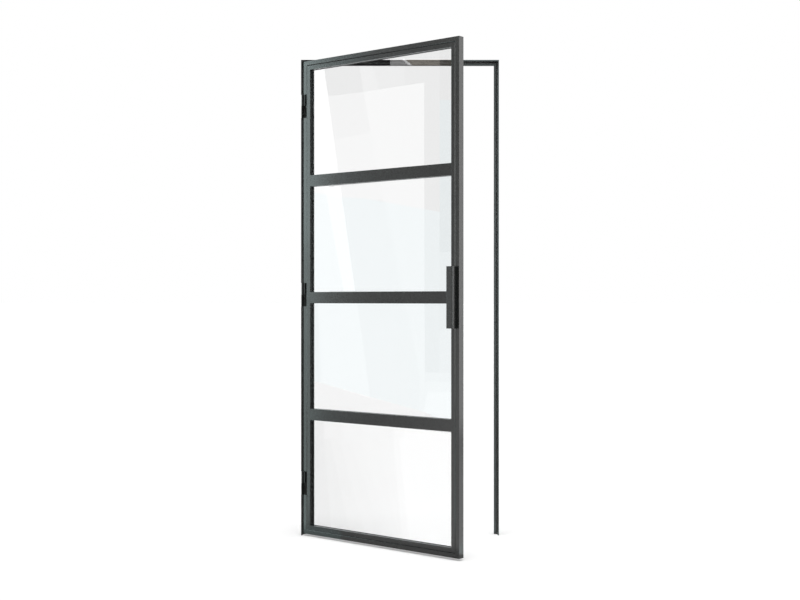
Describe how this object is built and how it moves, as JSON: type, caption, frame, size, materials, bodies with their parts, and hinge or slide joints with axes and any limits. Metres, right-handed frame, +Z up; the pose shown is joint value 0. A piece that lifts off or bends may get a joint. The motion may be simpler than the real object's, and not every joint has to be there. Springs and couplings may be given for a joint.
{
  "type": "glass door",
  "caption": "Hinged glass door in a slim dark steel frame, with cross bars, an L-shaped pull and lift-off hinges, standing part open.",
  "frame": {"origin": "at floor level, on the hinge jamb's wall face, in the frame's front plane", "axes": "+X across the doorway from the hinge jamb to the lock jamb, +Y from the front to the back, +Z up"},
  "size_m": [0.88, 0.6016, 2.115],
  "materials": {
    "coated_steel": "fine-textured dark anthracite powder coat",
    "hinge_steel": "black coated steel, satin",
    "handle_steel": "fine-textured dark anthracite powder coat",
    "bright_steel": "turned bright steel",
    "bearing_plastic": "black bearing plastic, turned",
    "magnet_coat": "black coated magnet",
    "corner_aluminium": "as cast",
    "seal_rubber": "matt black",
    "glazing_tape": "black foam tape",
    "block_plastic": "moulded black plastic",
    "clear_glass": "clear safety glass, flat"
  },
  "bodies": {
    "frame": {"hinge_jamb": "coated_steel", "lock_jamb": "coated_steel", "head_bar": "coated_steel", "hinge_stop": "coated_steel", "lock_stop": "coated_steel", "head_stop": "coated_steel", "frame_key_hinge": "corner_aluminium", "frame_key_lock": "corner_aluminium", "hinge_seal": "seal_rubber", "lock_seal": "seal_rubber", "head_seal": "seal_rubber", "closing_magnet": "magnet_coat", "hinge_frame_half_lower": "hinge_steel", "hinge_frame_half_middle": "hinge_steel", "hinge_frame_half_upper": "hinge_steel", "hinge_pin_lower": "bright_steel", "hinge_pin_middle": "bright_steel", "hinge_pin_upper": "bright_steel", "hinge_washer_lower": "bearing_plastic", "hinge_washer_middle": "bearing_plastic", "hinge_washer_upper": "bearing_plastic"},
    "leaf": {"hinge_stile": "coated_steel", "lock_stile": "coated_steel", "top_rail": "coated_steel", "bottom_rail": "coated_steel", "bead_hinge": "coated_steel", "bead_top": "coated_steel", "bead_lock": "coated_steel", "bead_bottom": "coated_steel", "front_bar_lower": "coated_steel", "front_bar_middle": "coated_steel", "front_bar_upper": "coated_steel", "back_bar_lower": "coated_steel", "back_bar_middle": "coated_steel", "back_bar_upper": "coated_steel", "hinge_leaf_half_lower": "hinge_steel", "hinge_leaf_half_middle": "hinge_steel", "hinge_leaf_half_upper": "hinge_steel", "pull_handle": "handle_steel", "handle_screws": "bright_steel", "leaf_cleat_lower_hinge": "corner_aluminium", "leaf_cleat_lower_lock": "corner_aluminium", "leaf_cleat_upper_hinge": "corner_aluminium", "leaf_cleat_upper_lock": "corner_aluminium", "front_tape": "glazing_tape", "back_tape": "glazing_tape", "setting_blocks": "block_plastic", "glass_pane": "clear_glass"}
  },
  "joints": [
    {"name": "door_swing", "type": "hinge", "parent": "frame", "child": "leaf", "pos_m": [0.0075, -0.0045, 0], "axis": [0, 0, -1], "range_deg": [-39.5, 70.5]}
  ]
}
